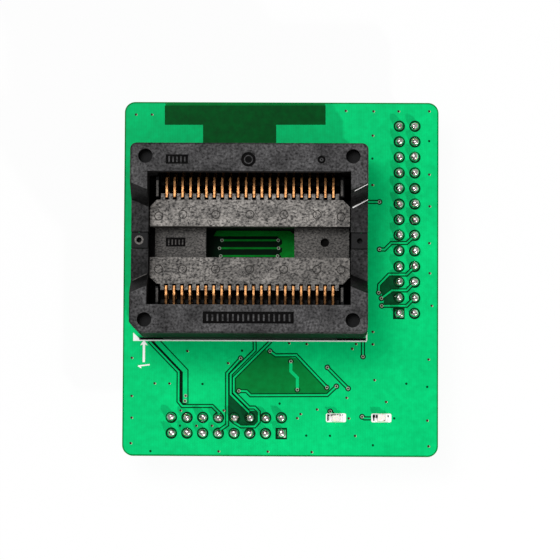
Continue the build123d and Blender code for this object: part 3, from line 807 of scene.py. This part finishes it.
MARK_Z = COVER_HIGH.z - 0.35 * MM
STRIP_Y = COVER_LOW.y + 2.45 * MM
STRIP_HALF = 0.95 * MM
PATCH_X, PATCH_Y = SOCKET_X - 11.45 * MM, COVER_HIGH.y - 2.64 * MM
PATCH_HALF = 0.75 * MM
DISC_X, DISC_R = SOCKET_X - 0.13 * MM, 1.12 * MM
DOT_X, DOT_R = SOCKET_X + 11.45 * MM, 0.6 * MM
plates(
    "cover_mark_floors",
    [
        floor_plate(*around(SOCKET_X, STRIP_Y, 7.2 * MM, STRIP_HALF), MARK_Z),
        floor_plate(*around(PATCH_X, PATCH_Y, 1.775 * MM, PATCH_HALF), MARK_Z),
        (circle(DISC_X, PATCH_Y, DISC_R, 24), MARK_Z, MARK_Z + FLOOR_T),
        (circle(DOT_X, PATCH_Y, DOT_R, 24), MARK_Z, MARK_Z + FLOOR_T),
    ],
    "black_and_shade", "cover",
)
bm = bmesh.new()
strip_bars = bars(*around(SOCKET_X, STRIP_Y, 6.9 * MM, STRIP_HALF), MARK_Z, 17, 0.26 * MM)
patch_bars = bars(*around(PATCH_X, PATCH_Y, 1.55 * MM, PATCH_HALF), MARK_Z, 5, 0.22 * MM)
for outline, foot, top in strip_bars + patch_bars:
    slab(bm, outline, foot, top)
ring(bm, DISC_X, PATCH_Y, 0.55 * MM, 0.72 * MM, MARK_Z + FLOOR_T, MARK_Z + BAR_TOP, 24)
ring(bm, DOT_X, PATCH_Y, 0.12 * MM, 0.3 * MM, MARK_Z + FLOOR_T, MARK_Z + 0.12 * MM, 16)
finish_mesh("cover_mark_relief", bm, "cover", "cover")


# Beads and rims that lie on the moulded parts, drawn light as painted highlights and glints on their edges.
def on_node(node, u, v):
    """Where the line of sight through pixel (u, v) meets a node."""
    hit, place, _, _ = NODES[node].ray_cast(eye, (at_pixel(u, v) - eye).normalized())
    return place if hit else None


def ridge(bm, node, start, end, width, rise, steps=10):
    """A thin closed bead that lies on a node between two pixels."""
    found = []
    for i in range(steps + 1):
        t = i / steps
        place = on_node(node, start[0] + (end[0] - start[0]) * t, start[1] + (end[1] - start[1]) * t)
        if place:
            found.append(place)
    along = (found[-1] - found[0]).normalized()
    across = Vector((-along.y, along.x, 0)).normalized() * width / 2
    up = Vector((0, 0, rise))
    section = (-across - up, across - up, across + up, -across + up)
    skin(bm, [[bm.verts.new(place + d) for d in section] for place in found])


# Painted glints along the top and the foot of the right notch's end wall.
bm = bmesh.new()
ridge(bm, "socket_cover", (354.6, 190.9), (367.8, 184.0), 0.16 * MM, 0.06 * MM)
ridge(bm, "socket_cover", (352.6, 207.8), (367.8, 199.5), 0.2 * MM, 0.07 * MM)
finish_mesh("cover_notch_glints", bm, "edge", "cover")
# Painted highlights on the edges of the base's posts, the left notch's foot and the latch hole's rim.
bm = bmesh.new()
for u, v0, v1 in ((157.4, 180, 196), (341.9, 180, 196), (156.9, 288, 302), (342.0, 288, 302)):
    ridge(bm, "socket_base", (u, v0), (u, v1), 0.34 * MM, 0.03 * MM)
finish_mesh("base_post_highlights", bm, "edge_highlight")
bm = bmesh.new()
ridge(bm, "socket_cover", (132.6, 280.6), (146.6, 273.9), 0.14 * MM, 0.04 * MM)
finish_mesh("cover_notch_highlight", bm, "edge_highlight", "cover")
bm = bmesh.new()
head_z = on_node("socket_base", 143.8, 239.8).z
hole = at_pixel(139.0, 239.9, head_z)
ring(bm, hole.x, hole.y, 0.44 * MM, 0.72 * MM, head_z - 0.01 * MM, head_z + 0.014 * MM, 24)
finish_mesh("latch_hole_highlight", bm, "edge_highlight")

# The seat's recess, ejector hole and ejector marks.
SEAT_LOW_FACE = TOP + 5.0 * MM
SEAT_MARK_Z = SEAT_LOW_FACE - 0.3 * MM
HOLE_Z = SEAT_LOW_FACE - 1.0 * MM
SEAT_PATCH_X, SEAT_PATCH_Y = SOCKET_X - 12.0 * MM, SOCKET_Y + 0.2 * MM
SEAT_HOLE_X, SEAT_HOLE_R = SOCKET_X + 12.0 * MM, 0.64 * MM
EJECTOR_R0, EJECTOR_R1 = 0.58 * MM, 0.72 * MM
plates(
    "seat_mark_floors",
    [
        floor_plate(*around(SEAT_PATCH_X, SEAT_PATCH_Y, 1.6 * MM, PATCH_HALF), SEAT_MARK_Z),
        (circle(SEAT_HOLE_X, SEAT_PATCH_Y, SEAT_HOLE_R, 20), HOLE_Z, HOLE_Z + 0.1 * MM),
    ],
    "black_and_shade",
)
seat_bars = bars(*around(SEAT_PATCH_X, SEAT_PATCH_Y, 1.4 * MM, PATCH_HALF), SEAT_MARK_Z, 5, 0.2 * MM)
plates("seat_mark_relief", seat_bars, "seat")
bm = bmesh.new()
for x in (-14.6, -10.75, -5.45, 0, 5.45, 10.75, 14.6):
    for y in (-4.4, 4.1 if abs(x) > 14 else 4.4):
        ring(bm, SOCKET_X + x * MM, SOCKET_Y + y * MM, EJECTOR_R0, EJECTOR_R1, SEAT_TOP - 0.01 * MM,
             SEAT_TOP + 0.012 * MM, 24)
finish_mesh("seat_ejector_marks", bm, "groove")

# Solder joints of the headers: outlines as (radius, height) in mm.
DOME = (
    (0.70, 0.0), (0.71, 0.08), (0.7, 0.4), (0.68, 0.68), (0.64, 0.88), (0.565, 1.04), (0.465, 1.155),
    (0.34, 1.24), (0.21, 1.285), (0.09, 1.305), (0.02, 1.31),
)
SQUARE_FOOT = ((0.96, 0.0), (0.96, 0.05), (0.88, 0.14), (0.6, 0.5), (0.5, 0.56))
LEAN_HEIGHT = 0.8
SPOT_Z0, SPOT_Z1 = TOP + 1.15 * MM, TOP + 1.3 * MM


def dome(bm, x, y, profile, n=18, start=0.0):
    """A turned solder joint that leans and swells a little, closed on the board."""
    lean = Vector((random.uniform(-0.08, 0.08), random.uniform(-0.08, 0.08))) * MM
    swell = random.uniform(0.95, 1.05)
    phase = random.uniform(0, 6.28)
    loops = []
    for r, h in profile:
        mid_x, mid_y = x + lean.x * h / LEAN_HEIGHT, y + lean.y * h / LEAN_HEIGHT
        loop = []
        for i in range(n):
            a = 2 * math.pi * i / n + start
            wobble = 1 + 0.04 * math.sin(2 * a + phase) + 0.025 * math.sin(3 * a + 2 * phase)
            reach = r * MM * swell * wobble
            loop.append(bm.verts.new((mid_x + reach * math.cos(a), mid_y + reach * math.sin(a), TOP + h * MM)))
        loops.append(loop)
    skin(bm, loops)


for name, pins in (("header_long_solder", long_pins), ("header_short_solder", short_pins)):
    bm = bmesh.new()
    for x, y in pins:
        if (x, y) in square_pads:
            dome(bm, x + FOOT_SHIFT, y, SQUARE_FOOT, n=4, start=math.pi / 4)
        dome(bm, x, y, DOME)
    obj = finish_mesh(name + "_domes", bm, "solder", smooth=True)
    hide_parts(name)
    # A dark spot at the upper left of each joint: painted shade on its side away from the light.
    spots = []
    for x, y in pins:
        spot_x = x + random.uniform(-0.3, -0.14) * MM
        spot_y = y + random.uniform(-0.06, 0.2) * MM
        spots.append((circle(spot_x, spot_y, random.uniform(0.1, 0.17) * MM, 10), SPOT_Z0, SPOT_Z1))
    plates(name + "_shade_spots", spots, "dome_shade")

# Cover springs: round wire.
WIRE_R = 0.15 * MM
TURNS, FLAT = 3.75, 0.5
PER_TURN, WIRE_SIDES = 30, 8


def coil(bm, centre, radius, z0, z1):
    """A closed round-wire helix with flat ends."""
    count = int(TURNS * PER_TURN)
    loops = []
    for i in range(count + 1):
        turn = i * TURNS / count
        climb = min(max((turn - FLAT) / (TURNS - 2 * FLAT), 0), 1)
        climb = climb * climb * (3 - 2 * climb) * 0.25 + climb * 0.75
        a = 2 * math.pi * turn
        out = Vector((math.cos(a), math.sin(a), 0))
        mid = Vector((centre.x, centre.y, z0 + (z1 - z0) * climb)) + out * radius
        loop = []
        for k in range(WIRE_SIDES):
            b = 2 * math.pi * k / WIRE_SIDES
            side = out * WIRE_R * math.cos(b) + Vector((0, 0, 1)) * WIRE_R * math.sin(b)
            loop.append(bm.verts.new(mid + side))
        loops.append(loop)
    skin(bm, loops)


for corner in ("front_left", "front_right", "rear_left", "rear_right"):
    node = "cover_spring_" + corner
    low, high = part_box(node)
    mid = (low + high) / 2
    bm = bmesh.new()
    coil(bm, mid, (high.y - low.y) / 2 - WIRE_R * 1.1, low.z + WIRE_R, high.z - WIRE_R)
    obj = finish_mesh(node + "_coil", bm, "steel", smooth=True)
    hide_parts(node)
    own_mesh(obj)

# Floor and light. The floor looks nearly as bright as the background and still takes the shadow.
FLOOR_HALF = 3.0
FLOOR_GLOW = 0.93
bm = bmesh.new()
bm.faces.new(loop_at(bm, rect(-FLOOR_HALF, FLOOR_HALF, -FLOOR_HALF, FLOOR_HALF), 0))
mesh = bpy.data.meshes.new("floor")
bm.to_mesh(mesh)
bm.free()
floor = bpy.data.objects.new("floor", mesh)
bpy.context.scene.collection.objects.link(floor)
mat, tree, bsdf = new_material("floor")
bsdf.inputs["Base Color"].default_value = (0.9, 0.9, 0.9, 1)
bsdf.inputs["Roughness"].default_value = 0.9
path = add(tree, "ShaderNodeLightPath")
glow = add(tree, "ShaderNodeEmission", Strength=1.0)
glow.inputs["Color"].default_value = (1, 1, 1, 1)
pick = add(tree, "ShaderNodeMixShader")
seen = add(tree, "ShaderNodeMath", operation="MAXIMUM")
tree.links.new(path.outputs["Is Camera Ray"], seen.inputs[0])
tree.links.new(path.outputs["Is Glossy Ray"], seen.inputs[1])
share = add(tree, "ShaderNodeMath", operation="MULTIPLY")
share.inputs[1].default_value = FLOOR_GLOW
tree.links.new(seen.outputs["Value"], share.inputs[0])
tree.links.new(share.outputs["Value"], pick.inputs["Fac"])
tree.links.new(bsdf.outputs["BSDF"], pick.inputs[1])
tree.links.new(glow.outputs["Emission"], pick.inputs[2])
tree.links.new(pick.outputs["Shader"], tree.nodes["Material Output"].inputs["Surface"])
mesh.materials.append(mat)


def area_light(name, place, target, width, power):
    data = bpy.data.lights.new(name, "AREA")
    data.energy = power
    data.size = width
    obj = bpy.data.objects.new(name, data)
    bpy.context.scene.collection.objects.link(obj)
    place, target = Vector(place), Vector(target)
    facing = (target - place).to_track_quat("-Z", "Y").to_matrix().to_4x4()
    obj.matrix_world = Matrix.Translation(place) @ facing


area_light("key", (-0.24, 0.25, 0.92), (0, 0, 0.01), width=0.38, power=4.35)
area_light("cross", (0.34, -0.48, 0.36), (0, 0, 0.01), width=0.035, power=2.5)
world = bpy.data.worlds.new("world")
bpy.context.scene.world = world
world.use_nodes = True
world.node_tree.nodes["Background"].inputs["Color"].default_value = (1, 1, 1, 1)
world.node_tree.nodes["Background"].inputs["Strength"].default_value = 0.43
bpy.context.scene.view_settings.view_transform = "Standard"
